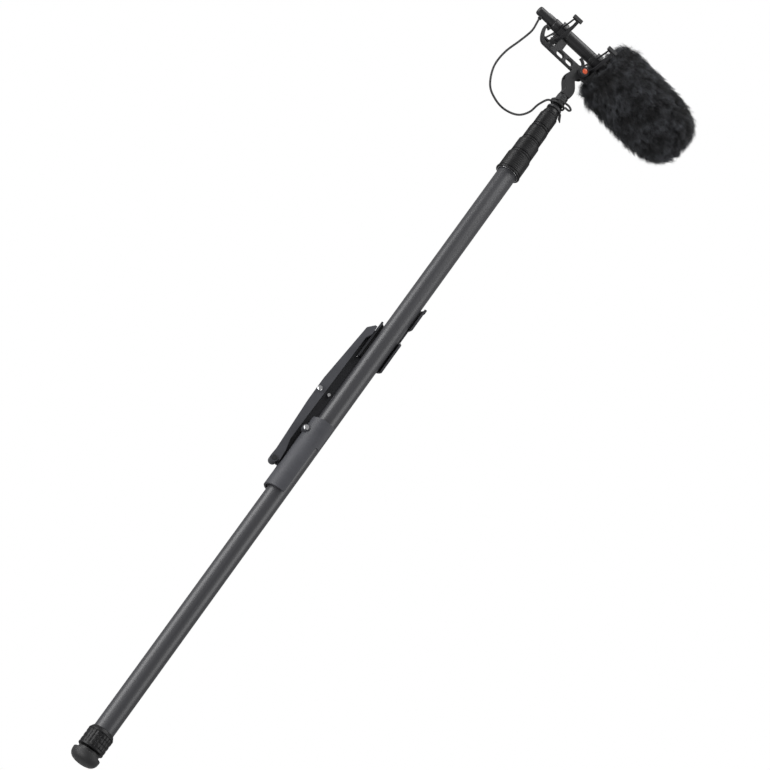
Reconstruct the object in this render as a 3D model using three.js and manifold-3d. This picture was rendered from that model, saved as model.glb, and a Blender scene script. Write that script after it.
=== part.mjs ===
// Telescopic boom pole, collapsed, with a suspended microphone and a clip-on pole support.
// Millimetres. +Z runs up the pole from the foot's flat bottom, +X is the way the microphone points.
import * as THREE from 'three';
import { mergeVertices } from 'three/addons/utils/BufferGeometryUtils.js';
import Module from 'manifold-3d';

const wasm = await Module();
wasm.setup();

// ---- driving dimensions ----
const ROUND = 28; // sides of a turned piece
const SMALL_ROUND = 16; // sides of a small turned piece
const ARC_STEP = 8; // degrees per facet of a part-round wall
const GAP = 0.3; // clearance between neighbouring pieces

// Outside and inside radius of each tube, largest first.
const TUBES = [
  { outer: 16.0, inner: 14.5 },
  { outer: 14.0, inner: 12.8 },
  { outer: 12.3, inner: 11.1 },
  { outer: 10.6, inner: 9.4 },
  { outer: 8.9, inner: 7.7 },
];
const COLLAR_BOTTOM = 1147; // lower edge of the first lock collar
const COLLARS = [
  { outer: 19.9, height: 37 },
  { outer: 18.2, height: 30 },
  { outer: 16.1, height: 30 },
  { outer: 15.1, height: 31 },
];
const COLLAR_WALL = 2.0;
const COLLAR_CAP = 5; // thickness of a collar's top wall
const TUBE_IN_COLLAR = 13; // how far a tube reaches up into its collar
const LAST_TUBE_ABOVE_COLLARS = 11;
const TUBE_END_STEP = 30; // each nested tube ends this much above the one outside it
const FIRST_NESTED_END = 70;
const BUSH_FLANGE = 10;
const BUSH_SPIGOT = 12;

const FOOT_HEIGHT = 20.2;
const FOOT_RADIUS = 22;
const END_COLLAR = { bottom: 22.6, shoulder: 49.5, top: 55, radius: 20.2 };

const NECK_RADIUS = 8.3;
const NECK_TOP = 1299;
const STUD_RADIUS = 4.6;

const PIVOT = { x: 0.5, z: 1370 }; // tilt axis of the suspension, along Y
const MIC_AXIS_Z = 1407;
const MIC_RADIUS = 10.3;
const MIC_REAR = -84;
const MIC_FRONT = 172;
const BAR_BOTTOM = 1364.5;
const BAR_TOP = 1379.5;
const BAR_HALF_THICKNESS = 4;
const LYRE_DEPTH = 10;
const REAR_LYRE_X = -66.6;
const FRONT_LYRE_X = 8.6;
const LYRE_HALF_WIDTH = 55;
const CABLE_RADIUS = 1.75;

const COVER_REAR = 24; // rear face of the fur cover, along X
const COVER_RADIUS = 56;
const COVER_DROOP = 4; // degrees that the soft cover sags below the microphone's axis
const CORE_RADIUS = 30.6;

const SUPPORT_TURN = -12.6; // degrees that the support is turned about the pole
const SADDLE = { outer: 22.8, inner: 19.6 };
const PAD_INNER = 16.5;
const LOWER_SADDLE = { bottom: 494, step: 579, top: 622 };
const UPPER_SADDLE = { bottom: 748, shoulder: 816, top: 873 };

// ---- materials ----
const finish = (color, roughness, metalness) => () =>
  new THREE.MeshStandardMaterial({ color, roughness, metalness });
const carbon = finish(0x46464a, 0.45, 0.15);
const anodised = finish(0x1d1d20, 0.5, 0.4);
const blackPlastic = finish(0x17171a, 0.6, 0.0);
const greyPlastic = finish(0x3a3a42, 0.7, 0.0);
const paleBush = finish(0xc9c6bc, 0.6, 0.0);
const rubber = finish(0x111113, 0.85, 0.0);
const steel = finish(0xc8c8cc, 0.25, 1.0);
const orange = finish(0xe8502c, 0.45, 0.0);
const foam = finish(0x2a2a2e, 0.95, 0.0);
const fur = finish(0x18181b, 1.0, 0.0);

// ---- geometry helpers ----
const X_AXIS = new THREE.Vector3(1, 0, 0);
const Y_AXIS = new THREE.Vector3(0, 1, 0);
const Z_AXIS = new THREE.Vector3(0, 0, 1);

// A geometry with shared corners merged, no collapsed triangles, and its faces pointing out.
function tidied(geometry) {
  const bare = geometry.index ? geometry.toNonIndexed() : geometry.clone();
  bare.deleteAttribute('normal');
  bare.deleteAttribute('uv');
  const merged = mergeVertices(bare, 1e-4);
  const position = merged.attributes.position;
  const corner = [new THREE.Vector3(), new THREE.Vector3(), new THREE.Vector3()];
  const kept = [];
  let volume = 0;
  for (let i = 0; i < merged.index.count; i += 3) {
    const ids = [0, 1, 2].map((k) => merged.index.getX(i + k));
    if (new Set(ids).size < 3) continue;
    ids.forEach((id, k) => corner[k].fromBufferAttribute(position, id));
    volume += corner[0].dot(corner[1].clone().cross(corner[2]));
    kept.push(ids);
  }
  const order = volume < 0 ? [0, 2, 1] : [0, 1, 2];
  merged.setIndex(kept.flatMap((ids) => order.map((k) => ids[k])));
  return merged;
}

function toSolid(geometry) {
  const shape = tidied(geometry);
  return new wasm.Manifold(new wasm.Mesh({
    numProp: 3,
    vertProperties: new Float32Array(shape.attributes.position.array),
    triVerts: new Uint32Array(shape.index.array),
  }));
}

function toGeometry(solid) {
  const mesh = solid.getMesh();
  const geometry = new THREE.BufferGeometry();
  geometry.setAttribute('position', new THREE.BufferAttribute(new Float32Array(mesh.vertProperties), 3));
  geometry.setIndex(new THREE.BufferAttribute(new Uint32Array(mesh.triVerts), 1));
  return geometry;
}

const joined = (...parts) => toGeometry(parts.map(toSolid).reduce((a, b) => a.add(b)));
const cut = (body, ...tools) => toGeometry(tools.map(toSolid).reduce((a, b) => a.subtract(b), toSolid(body)));

// A piece turned about Z, from its [radius, z] outline.
function turned(outline, sides = ROUND) {
  const closed = outline[0][0] === 0 && outline.at(-1)[0] === 0 ? outline : [...outline, outline[0]];
  const points = closed.map(([r, z]) => new THREE.Vector2(r, z));
  return tidied(new THREE.LatheGeometry(points, sides).rotateX(Math.PI / 2));
}

const ring = (inner, outer, bottom, top, sides = ROUND) =>
  turned([[inner, bottom], [outer, bottom], [outer, top], [inner, top]], sides);

const rod = (radius, bottom, top, sides = SMALL_ROUND) =>
  turned([[0, bottom], [radius, bottom], [radius, top], [0, top]], sides);

// The same, turned about the microphone's axis, from [radius, x].
const turnedOnMic = (outline, sides = ROUND) =>
  turned(outline, sides).rotateY(Math.PI / 2).translate(0, 0, MIC_AXIS_Z);

// A rod along Y through (x, z).
const crossRod = (radius, x, z, y0, y1, sides = SMALL_ROUND) =>
  rod(radius, y0, y1, sides).rotateX(-Math.PI / 2).translate(x, 0, z);

const box = (x0, x1, y0, y1, z0, z1) =>
  new THREE.BoxGeometry(x1 - x0, y1 - y0, z1 - z0).translate((x0 + x1) / 2, (y0 + y1) / 2, (z0 + z1) / 2);

const outlineShape = (points) => new THREE.Shape(points.map(([a, b]) => new THREE.Vector2(a, b)));

const extruded = (shape, depth) =>
  new THREE.ExtrudeGeometry(shape, { depth, bevelEnabled: false, curveSegments: SMALL_ROUND / 2 });

// A plate drawn in X and Z, filling y0 to y1.
const sidePlate = (shape, y0, y1) => extruded(shape, y1 - y0).rotateX(Math.PI / 2).translate(0, y1, 0);

// A plate drawn in Y and Z, filling x0 to x1.
const crossPlate = (shape, x0, x1) =>
  extruded(shape, x1 - x0)
    .applyMatrix4(new THREE.Matrix4().makeBasis(Y_AXIS, Z_AXIS, X_AXIS))
    .translate(x0, 0, 0);

// A band of constant or tapering width along a smooth line through the points.
function band(points, startHalf, endHalf = startHalf, pieces = 12) {
  const line = new THREE.SplineCurve(points.map(([a, b]) => new THREE.Vector2(a, b)));
  const left = [];
  const right = [];
  for (let i = 0; i <= pieces; i += 1) {
    const t = i / pieces;
    const half = startHalf + (endHalf - startHalf) * t;
    const at = line.getPoint(t);
    const along = line.getTangent(t);
    left.push(new THREE.Vector2(at.x - along.y * half, at.y + along.x * half));
    right.unshift(new THREE.Vector2(at.x + along.y * half, at.y - along.x * half));
  }
  return new THREE.Shape([...left, ...right]);
}

// Part of a pipe wall between two angles in degrees, with its facets every stepDeg.
function arcWall(inner, outer, fromDeg, toDeg, bottom, top, stepDeg = ARC_STEP) {
  const count = Math.round((toDeg - fromDeg) / stepDeg);
  const angles = Array.from({ length: count + 1 }, (_, i) =>
    THREE.MathUtils.degToRad(fromDeg + ((toDeg - fromDeg) * i) / count));
  const along = (radius) => angles.map((a) => [radius * Math.cos(a), radius * Math.sin(a)]);
  const shape = outlineShape([...along(outer), ...along(inner).reverse()]);
  return extruded(shape, top - bottom).translate(0, 0, bottom);
}

const group = new THREE.Group();
const support = new THREE.Group();
support.rotation.z = THREE.MathUtils.degToRad(SUPPORT_TURN);
group.add(support);

function add(name, geometry, material, parent = group) {
  const mesh = new THREE.Mesh(tidied(geometry), material());
  mesh.name = name;
  parent.add(mesh);
}

// ---- foot end ----
function addFoot() {
  const edge = FOOT_RADIUS;
  const dome = [[9, 0], [16.4, 2.2], [20.4, 6.2], [edge, 11], [edge, 14], [20.6, 17.2], [17.6, 19.2]];
  add('rubber_foot', turned([[0, 0], ...dome, [17, FOOT_HEIGHT], [0, FOOT_HEIGHT]]), rubber);

  const { bottom, shoulder, top, radius } = END_COLLAR;
  const bore = TUBES[0].outer + GAP;
  const plugHole = 6.3;
  const floor = bottom + 2.6;
  add('end_collar', turned([
    [plugHole, bottom], [radius - 0.8, bottom], [radius, bottom + 0.8], [radius, shoulder],
    [bore + 0.7, top], [bore, top], [bore, floor], [plugHole, floor],
  ]), anodised);

  const spigot = TUBES[0].inner - GAP;
  const spigotBottom = floor + GAP;
  const neck = plugHole - GAP;
  add('end_plug', turned([
    [0, FOOT_HEIGHT + GAP], [neck, FOOT_HEIGHT + GAP], [neck, spigotBottom], [spigot, spigotBottom],
    [spigot, 52], [0, 52],
  ]), blackPlastic);
}

// ---- telescopic tubes and locks ----
const collarBottoms = COLLARS.map((_, i) =>
  COLLARS.slice(0, i).reduce((z, collar) => z + collar.height, COLLAR_BOTTOM));
const collarsTop = COLLAR_BOTTOM + COLLARS.reduce((sum, collar) => sum + collar.height, 0);

function tubeSpan(i) {
  const bottom = i === 0 ? END_COLLAR.bottom + 3.2 : FIRST_NESTED_END + TUBE_END_STEP * (i - 1);
  const top = i < COLLARS.length ? collarBottoms[i] + TUBE_IN_COLLAR : collarsTop + LAST_TUBE_ABOVE_COLLARS;
  return { bottom, top };
}

function addTube(i) {
  const { outer, inner } = TUBES[i];
  const { bottom, top } = tubeSpan(i);
  add(i === 0 ? 'base_tube' : `tube_${i + 1}`, ring(inner, outer, bottom, top), carbon);
  if (i === 0) return;
  const flange = TUBES[i - 1].inner - GAP;
  const spigot = inner - GAP;
  const bore = spigot - 2;
  const under = bottom - GAP;
  add(`slide_bush_${i + 1}`, turned([
    [bore, bottom - BUSH_FLANGE], [flange, bottom - BUSH_FLANGE], [flange, under],
    [spigot, under], [spigot, bottom + BUSH_SPIGOT], [bore, bottom + BUSH_SPIGOT],
  ]), paleBush);
}

function addLock(i) {
  const { outer, height } = COLLARS[i];
  const bottom = collarBottoms[i];
  const top = bottom + height - GAP;
  const tube = TUBES[i];
  const next = TUBES[i + 1];
  const bore = outer - COLLAR_WALL;
  const cap = top - COLLAR_CAP;
  const mouth = next.outer + GAP;
  const lip = i === 0 ? 1.1 : 0.3;
  add(`lock_collar_${i + 1}`, turned([
    [bore, bottom], [outer + lip, bottom], [outer + lip, bottom + 2.4], [outer, bottom + 3.4],
    [outer, top - 1.2], [outer - 1.2, top], [mouth, top], [mouth, cap], [bore, cap],
  ]), anodised);

  const sleeveTop = bottom + height - COLLAR_CAP - 4;
  add(`ferrule_${i + 1}`, ring(tube.outer + GAP, bore - GAP, bottom + 3, sleeveTop), anodised);

  const colletBottom = bottom + TUBE_IN_COLLAR + 1;
  const split = 6; // degrees either side of the slit
  const wall = arcWall(mouth, tube.outer, split, 360 - split, colletBottom, cap - GAP, 12);
  add(`collet_${i + 1}`, wall, paleBush);
}

function addTip() {
  const tube = TUBES.at(-1);
  const socket = tubeSpan(4).top + GAP;
  const bore = tube.outer + GAP;
  const hole = STUD_RADIUS + GAP;
  const bottom = collarsTop + GAP;
  add('tip_ferrule', turned([
    [bore, bottom], [13.4, bottom], [13.4, bottom + 3], [9.6, NECK_TOP - 8], [NECK_RADIUS, NECK_TOP - 5],
    [NECK_RADIUS, NECK_TOP], [hole, NECK_TOP], [hole, socket], [bore, socket],
  ]), anodised);
  add('tip_stud', rod(STUD_RADIUS, socket + 1, NECK_TOP + 13), steel);
}

// ---- swivel ----
const ARM_HALF_THICKNESS = 8;
const FORK_SLOT_BOTTOM = 1343;
const PIN_RADIUS = 3;
const KNOB = { radius: 8, back: -8.4, face: -18.4, insertRadius: 4.6 };

function addSwivel() {
  const base = 9.5;
  const hole = STUD_RADIUS + GAP;
  const bottom = NECK_TOP + GAP;
  const blindEnd = NECK_TOP + 14;
  const baseTop = 1319;
  add('swivel_base', turned([
    [hole, bottom], [base - 1, bottom], [base, bottom + 1], [base, baseTop - 1.5], [base - 1.5, baseTop],
    [0, baseTop], [0, blindEnd], [hole, blindEnd],
  ]), blackPlastic);

  const armLine = [[0, baseTop + GAP], [0.5, 1333], [-9.5, 1348.5], [-7, 1360.5], [PIVOT.x, PIVOT.z]];
  const arm = sidePlate(band(armLine, 8.0, 8.4, 20), -ARM_HALF_THICKNESS, ARM_HALF_THICKNESS);
  const boss = crossRod(9.6, PIVOT.x, PIVOT.z, -ARM_HALF_THICKNESS, ARM_HALF_THICKNESS, 28);
  const slot = BAR_HALF_THICKNESS + 0.4;
  add('swivel_arm', cut(
    joined(arm, boss),
    box(-60, 60, -slot, slot, FORK_SLOT_BOTTOM, 1400),
    crossRod(PIN_RADIUS + GAP, PIVOT.x, PIVOT.z, -20, 20),
    box(-60, 60, -20, 20, 1300, baseTop + GAP),
  ), blackPlastic);

  const head = crossRod(5.5, PIVOT.x, PIVOT.z, ARM_HALF_THICKNESS + GAP, ARM_HALF_THICKNESS + 4);
  add('pivot_pin', joined(head, crossRod(PIN_RADIUS, PIVOT.x, PIVOT.z, -13, ARM_HALF_THICKNESS + 1)), steel);

  const { radius, back, face, insertRadius } = KNOB;
  const recess = insertRadius + GAP;
  const knob = crossRod(radius, PIVOT.x, PIVOT.z, face, back, 28);
  add('clamp_knob', cut(
    knob,
    crossRod(recess, PIVOT.x, PIVOT.z, face - 1, face + 2),
    crossRod(PIN_RADIUS + GAP, PIVOT.x, PIVOT.z, -14, 0),
  ), blackPlastic);
  add('knob_insert', crossRod(insertRadius, PIVOT.x, PIVOT.z, face + 0.2, face + 2 - GAP, 24), orange);
}

// ---- suspension ----
const REAR_POST = { back: -60.4, front: -46.6, top: 1393 };
const FRONT_POST = { back: 13.9, front: 20.4, top: 1393 };
const SCREW_Z = 1386.5;

function roundedHole(x0, x1, z0, z1) {
  const radius = (z1 - z0) / 2 - 0.6;
  const hole = new THREE.Path();
  hole.moveTo(x0 + radius, z0);
  hole.absarc(x1 - radius, z0 + radius, radius, -Math.PI / 2, 0);
  hole.absarc(x1 - radius, z1 - radius, radius, 0, Math.PI / 2);
  hole.absarc(x0 + radius, z1 - radius, radius, Math.PI / 2, Math.PI);
  hole.absarc(x0 + radius, z0 + radius, radius, Math.PI, 1.5 * Math.PI);
  return hole;
}

function addBar() {
  const web = outlineShape([
    [-66, BAR_BOTTOM + 1.2], [FRONT_POST.front, BAR_BOTTOM], [FRONT_POST.front, FRONT_POST.top],
    [FRONT_POST.back, FRONT_POST.top], [FRONT_POST.back, BAR_TOP], [REAR_POST.front, BAR_TOP],
    [REAR_POST.front, REAR_POST.top], [REAR_POST.back, REAR_POST.top], [REAR_POST.back, 1377],
    [-67, 1371],
  ]);
  web.holes.push(roundedHole(-52.5, -38, 1366.4, 1376), roundedHole(-33, -19, 1366.4, 1376));
  const half = BAR_HALF_THICKNESS;
  const rearSweep = [[-64, 1369], [-73, 1368.4], [-80.5, 1369.2], [-86.5, 1376.5], [-90.4, 1387], [-91, 1394]];
  const rearHook = band(rearSweep, 3.4, 1.6, 14);
  const rearTip = band([[-91.2, 1393], [-89.4, 1395.2], [-85.6, 1394.6], [-83, 1392.6]], 1.6, 1.2, 6);
  const frontSweep = [[-9, 1378.5], [-4, 1382], [-4.6, 1387.4], [-9.4, 1391.4], [-14.4, 1392.6]];
  const frontHook = band(frontSweep, 1.9, 1.2);
  add('suspension_bar', cut(
    joined(
      sidePlate(web, -half, half),
      sidePlate(rearHook, -half + 0.6, half - 0.6),
      sidePlate(rearTip, -half + 0.6, half - 0.6),
      sidePlate(frontHook, -half + 1, half - 1),
    ),
    crossRod(PIN_RADIUS + GAP, PIVOT.x, PIVOT.z, -20, 20),
    rod(1.8, -70, -50, 12).rotateY(Math.PI / 2).translate(0, 0, SCREW_Z),
    rod(1.8, 10, 19, 12).rotateY(Math.PI / 2).translate(0, 0, SCREW_Z),
  ), blackPlastic);
}

function addLyre(name, x) {
  const [back, front] = [x - LYRE_DEPTH / 2, x + LYRE_DEPTH / 2];
  const tipZ = MIC_AXIS_Z + 2;
  const clip = ring(MIC_RADIUS + GAP, MIC_RADIUS + 4, -LYRE_DEPTH / 2, LYRE_DEPTH / 2)
    .rotateY(Math.PI / 2).translate(x, 0, MIC_AXIS_Z);
  const opening = box(back - 1, front + 1, -6.5, 6.5, MIC_AXIS_Z + 4, MIC_AXIS_Z + 20);
  const pedestal = box(back, front, -6, 6, BAR_TOP + 0.8, MIC_AXIS_Z - 14.5);
  const wings = [-1, 1].map((side) => lyreWing(x, side, side * LYRE_HALF_WIDTH, tipZ));
  const hole = rod(1.8, x - 20, x + 20, 12).rotateY(Math.PI / 2).translate(0, 0, SCREW_Z);
  add(name, cut(joined(cut(clip, opening), ...wings, pedestal), hole), blackPlastic);
}

// One side of a lyre: an arm from the pedestal to the tip, a tip bar, and a two-strut arm back to the clip.
function lyreWing(x, side, tip, tipZ) {
  const outer = [
    [side * 5, MIC_AXIS_Z - 23], [side * 25, MIC_AXIS_Z - 22], [side * 45, MIC_AXIS_Z - 12], [tip, tipZ],
  ];
  const inner = [[tip, tipZ], [side * 33, MIC_AXIS_Z - 1.5], [side * 12, MIC_AXIS_Z - 3]];
  const [near, far] = [side * 18, side * 49].sort((a, b) => a - b);
  const window = box(x - 2.7, x + 2.7, near, far, MIC_AXIS_Z - 17, MIC_AXIS_Z + 13);
  return joined(
    crossPlate(band(outer, 1.8, 1.2), x, x + LYRE_DEPTH / 2),
    cut(crossPlate(band(inner, 1.0, 1.5, 8), x - LYRE_DEPTH / 2, x + LYRE_DEPTH / 2), window),
    box(x - 8.5, x + 8.5, tip - 2, tip + 2, tipZ - 3.4, tipZ + 2.6),
  );
}

function addLyreScrew(name, head, tip) {
  const shank = rod(1.5, head, tip, 12);
  const cap = rod(2.8, head - 1.8, head, 16);
  add(name, joined(shank, cap).rotateY(Math.PI / 2).translate(0, 0, SCREW_Z), steel);
}

// ---- microphone, plug and cable ----
const PLUG = { rear: -116.5, front: MIC_REAR - GAP, radius: 7.6 };
const LATCH = { x0: -98, x1: -90, depth: 2.6 };

function addMicrophone() {
  const r = MIC_RADIUS;
  add('mic_body', turnedOnMic([
    [0, MIC_REAR], [r - 1.4, MIC_REAR], [r - 0.6, MIC_REAR + 1.2], [r - 0.6, MIC_REAR + 12],
    [r, MIC_REAR + 13], [r, MIC_FRONT - 2], [r - 1.2, MIC_FRONT], [0, MIC_FRONT],
  ]), anodised);

  const { rear, front, radius } = PLUG;
  const shell = turnedOnMic([
    [0, rear], [radius - 2.2, rear], [radius - 0.6, rear + 1.2], [radius, rear + 4], [radius, -92],
    [radius + 1, -90], [radius + 1, front], [0, front],
  ], 32);
  const top = MIC_AXIS_Z + radius;
  const cable = rod(CABLE_RADIUS + GAP + 1.7, -12, -5, 16).translate(-106.4, 0, MIC_AXIS_Z);
  add('plug_shell', cut(
    shell,
    box(LATCH.x0 - GAP, LATCH.x1 + GAP, -3, 3, top - LATCH.depth - 1.4, top + 4),
    cable,
  ), blackPlastic);
  add('plug_latch', box(LATCH.x0, LATCH.x1, -2.6, 2.6, top - LATCH.depth, top + 1.4), steel);
  const boot = ring(CABLE_RADIUS + GAP, CABLE_RADIUS + 1.6, -11.4, -5.4, 16).translate(-106.4, 0, MIC_AXIS_Z);
  add('plug_boot', boot, rubber);
}

function addCable() {
  const hang = [
    [-106.4, 0, 1400.6], [-106.2, 0, 1391], [-104.4, 0, 1370], [-110.6, 0, 1341], [-119, 0, 1310],
    [-121, 0, 1282], [-115, 0, 1260], [-104, 0, 1242], [-88.5, 0, 1233], [-71, 0, 1229.5],
    [-53, 0, 1233], [-39, 0, 1242], [-29.5, 0, 1258], [-25.6, 0, 1277], [-19, -2, 1293],
  ].map(([x, y, z]) => new THREE.Vector3(x, y, z));
  // One turn round the neck, seen from above going from -X over -Y, then a small free loop on the +X side.
  const wrap = [];
  const turnRadius = 12;
  for (let i = 0; i <= 12; i += 1) {
    const a = Math.PI * (1.06 + (i / 12) * 2.0);
    const z = 1298.4 + (i / 12) * 4.6;
    wrap.push(new THREE.Vector3(turnRadius * Math.cos(a), turnRadius * Math.sin(a), z));
  }
  const loop = [
    [-6, -12.4, 1304.2], [4, -13, 1304.6], [14, -11, 1306.6],
    [20.4, -9, 1305], [18, -10.6, 1300.4], [10, -14.6, 1297.6],
  ].map(([x, y, z]) => new THREE.Vector3(x, y, z));
  const path = new THREE.CatmullRomCurve3([...hang, ...wrap, ...loop], false, 'centripetal');
  const section = new THREE.Shape();
  section.absarc(0, 0, CABLE_RADIUS, 0, 2 * Math.PI);
  add('mic_cable', new THREE.ExtrudeGeometry(section, {
    steps: 90, extrudePath: path, bevelEnabled: false, curveSegments: 3,
  }), rubber);

  const strap = ring(10.9, 12.3, 1287.6, 1291.4, 28);
  const tailOutline = [
    [10.9, 1291.2], [14, 1291.2], [20.5, 1279], [14.6, 1282.4], [12.2, 1287.8], [10.9, 1287.8],
  ];
  const tail = sidePlate(outlineShape(tailOutline), -1.6, 1.6);
  add('cable_tie', joined(strap, tail), blackPlastic);
}

// ---- windshield ----
function addWindshield() {
  const cuff = 14.6;
  const skin = 4;
  const rear = COVER_REAR;
  const inside = CORE_RADIUS + 0.4;
  const body = turnedOnMic([
    [0, rear], [42, rear], [51, rear + 5], [COVER_RADIUS, rear + 20], [COVER_RADIUS, 138], [53.5, 164],
    [45, 187], [31, 201], [15, 207], [0, 208],
  ]).translate(-rear, 0, -MIC_AXIS_Z)
    .rotateY(THREE.MathUtils.degToRad(COVER_DROOP)).translate(rear, 0, MIC_AXIS_Z);
  const cavity = turnedOnMic([
    [0, rear - 10], [cuff, rear - 10], [cuff, rear + skin], [inside, rear + skin], [inside, 180], [18, 193],
    [0, 197],
  ]);
  add('fur_cover', cut(body, cavity), fur);
  const bore = MIC_RADIUS + 0.5;
  add('windshield_core', turnedOnMic([
    [bore, rear + skin + GAP], [CORE_RADIUS, rear + skin + GAP], [CORE_RADIUS, 178], [18, 191], [0, 195],
    [0, MIC_FRONT + 6], [bore, MIC_FRONT + 4],
  ]), foam);
}

// ---- pole support ----
const BEAM = { front: -9, back: 8 };
const WEB_FRONT = 6;
const BOSS = { x: -33, z: 533, radius: 6.4 };

function addSaddles() {
  const { bottom, step, top } = LOWER_SADDLE;
  const { outer, inner } = SADDLE;
  const padOuter = inner - GAP;
  const bolt = { x: -20.5, z: 598 };
  const bossFace = -15.8;
  add('lower_saddle', cut(
    joined(
      arcWall(inner, outer, 100, 292, bottom, top),
      arcWall(inner, outer, 284, 308, step, top),
      cut(crossRod(6, bolt.x, bolt.z, bossFace, -4), rod(inner + 0.5, bottom, top)),
    ),
    crossRod(2.3, bolt.x, bolt.z, bossFace - 1, bossFace + 5, 12),
  ), greyPlastic, support);
  add('lower_pad', arcWall(PAD_INNER, padOuter, 104, 291, bottom + 2, top - 3, 11), foam, support);
  const shank = crossRod(2, bolt.x, bolt.z, bossFace - GAP, bossFace + 4.6, 12);
  const head = crossRod(4, bolt.x, bolt.z, bossFace - 3.4, bossFace - GAP, 16);
  add('saddle_bolt', joined(shank, head), steel, support);

  const upper = UPPER_SADDLE;
  add('upper_saddle', cut(
    joined(
      arcWall(inner, outer, -10, 182, upper.bottom, upper.shoulder),
      arcWall(inner, outer, -10, 86, upper.bottom, upper.top),
      arcWall(inner + 1, outer + 0.9, -10, 86, upper.top - 5, upper.top),
    ),
    crossRod(19, outer + 8.6, 818, -20, 12, 32),
  ), greyPlastic, support);
  const upperPad = arcWall(PAD_INNER, padOuter, 22, 176, upper.bottom + 3, upper.shoulder - 3, 11);
  add('upper_pad', upperPad, foam, support);
}

function addSpine() {
  const outline = outlineShape([
    [-39.4, 533], [-38.6, 548], [-43.2, 640], [-43.4, 682], [-36, 790], [-27, 801], [-23.3, 801],
    [-23.3, 786], [-28, 776], [-30, 572], [-25.4, 552], [-24.2, 535],
  ]);
  const beam = sidePlate(outline, BEAM.front, BEAM.back);
  const boss = crossRod(BOSS.radius, BOSS.x, BOSS.z, BEAM.front, BEAM.back, 24);
  const web = box(-31, -15.7, WEB_FRONT, BEAM.back, 626, 747.5);
  const edge = box(-31, -22.5, WEB_FRONT, BEAM.back, 531, 800);
  const bolt = { x: -38.6, z: 664 };
  const screw = { x: -22, z: 669 };
  const pocket = sidePlate(outlineShape([
    [-36.6, 566], [-39.8, 640], [-40, 682], [-33.6, 778], [-31.4, 778], [-33, 566],
  ]), BEAM.front + 5, BEAM.back + 1);
  add('support_spine', cut(
    joined(beam, boss, web, edge),
    pocket,
    crossRod(2.8, BOSS.x, BOSS.z, -20, 20, 16),
    crossRod(2.1, bolt.x, bolt.z, BEAM.front - 1, BEAM.front + 4, 12),
    crossRod(1.8, screw.x, screw.z, WEB_FRONT - 1, BEAM.back + 1, 12),
  ), greyPlastic, support);

  add('spine_pin', joined(
    crossRod(2.5, BOSS.x, BOSS.z, BEAM.front - 1, BEAM.back - 1, 16),
    crossRod(4, BOSS.x, BOSS.z, BEAM.front - 2.2, BEAM.front - GAP, 16),
  ), anodised, support);
  add('spine_bolt', joined(
    crossRod(1.8, bolt.x, bolt.z, BEAM.front - GAP, BEAM.front + 3.6, 12),
    crossRod(4, bolt.x, bolt.z, BEAM.front - 3.4, BEAM.front - GAP, 16),
  ), steel, support);
  add('web_screw', joined(
    crossRod(1.5, screw.x, screw.z, WEB_FRONT - GAP, BEAM.back - 1, 12),
    crossRod(3, screw.x, screw.z, WEB_FRONT - 1.8, WEB_FRONT - GAP, 16),
  ), steel, support);
}

addFoot();
TUBES.forEach((_, i) => addTube(i));
COLLARS.forEach((_, i) => addLock(i));
addTip();
addSwivel();
addBar();
addLyre('rear_lyre', REAR_LYRE_X);
addLyre('front_lyre', FRONT_LYRE_X);
addLyreScrew('rear_lyre_screw', REAR_LYRE_X - LYRE_DEPTH / 2 - GAP, -51);
addLyreScrew('front_lyre_screw', FRONT_LYRE_X - LYRE_DEPTH / 2 - GAP, 18.6);
addMicrophone();
addCable();
addWindshield();
addSaddles();
addSpine();

export default group;
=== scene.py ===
"""Looks for a collapsed carbon boom pole with a suspended microphone, a fur windshield and a support."""
import math

import bpy
import numpy as np
from mathutils import Matrix, Quaternion, Vector, kdtree


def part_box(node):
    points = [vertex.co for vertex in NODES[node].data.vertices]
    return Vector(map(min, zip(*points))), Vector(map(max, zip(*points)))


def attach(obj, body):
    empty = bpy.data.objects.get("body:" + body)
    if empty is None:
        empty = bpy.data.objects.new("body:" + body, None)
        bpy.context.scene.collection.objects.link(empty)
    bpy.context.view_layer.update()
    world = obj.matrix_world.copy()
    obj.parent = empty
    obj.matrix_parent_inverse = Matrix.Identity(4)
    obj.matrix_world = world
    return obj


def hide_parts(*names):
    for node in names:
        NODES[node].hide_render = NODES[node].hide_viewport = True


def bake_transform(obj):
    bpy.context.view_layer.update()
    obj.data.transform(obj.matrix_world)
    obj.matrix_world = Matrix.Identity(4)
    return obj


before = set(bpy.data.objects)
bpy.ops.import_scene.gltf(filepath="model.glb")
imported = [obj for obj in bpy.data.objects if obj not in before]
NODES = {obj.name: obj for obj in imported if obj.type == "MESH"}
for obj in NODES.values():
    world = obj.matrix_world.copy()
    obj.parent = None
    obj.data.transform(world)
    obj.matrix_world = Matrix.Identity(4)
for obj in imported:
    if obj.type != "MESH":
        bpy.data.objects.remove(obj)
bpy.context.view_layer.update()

MM = 0.001
SEED = 7

# ---- dimensions of the object, in millimetres ----
MIC_AXIS_Z = 1407.0
MIC_RADIUS = 10.3
MIC_REAR = -84.0
MIC_FRONT = 172.0
LYRE_SCREW_Z = 1386.5
PIVOT = (0.5, 1370.0)
PLUG_HOLE = 6.3  # radius of the opening in the end collar's floor
SUPPORT_TURN = math.radians(-12.6)
SADDLE_BOLT = (-20.5, 598.0)
SPINE_BOLT = (-38.6, 664.0)
WEB_SCREW = (-22.0, 669.0)
COLLAR_RADII = (19.9, 18.2, 16.1, 15.1)
COLLAR_WALL = 2.0
COLLAR_CAP = 5.0
BASE_TUBE_WALL = 1.5
NESTED_TUBE_WALL = 1.2
CLEARANCE = 0.3
COVER_REAR = 24.0
COVER_DROOP = math.radians(4)
COVER_SKIN = 3.0  # from the cover's side line in to its backing
COVER_MOUTH = 14.6  # radius of the opening round the microphone
CORE_HOLLOW = 31.2  # radius of the room for the foam core
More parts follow.
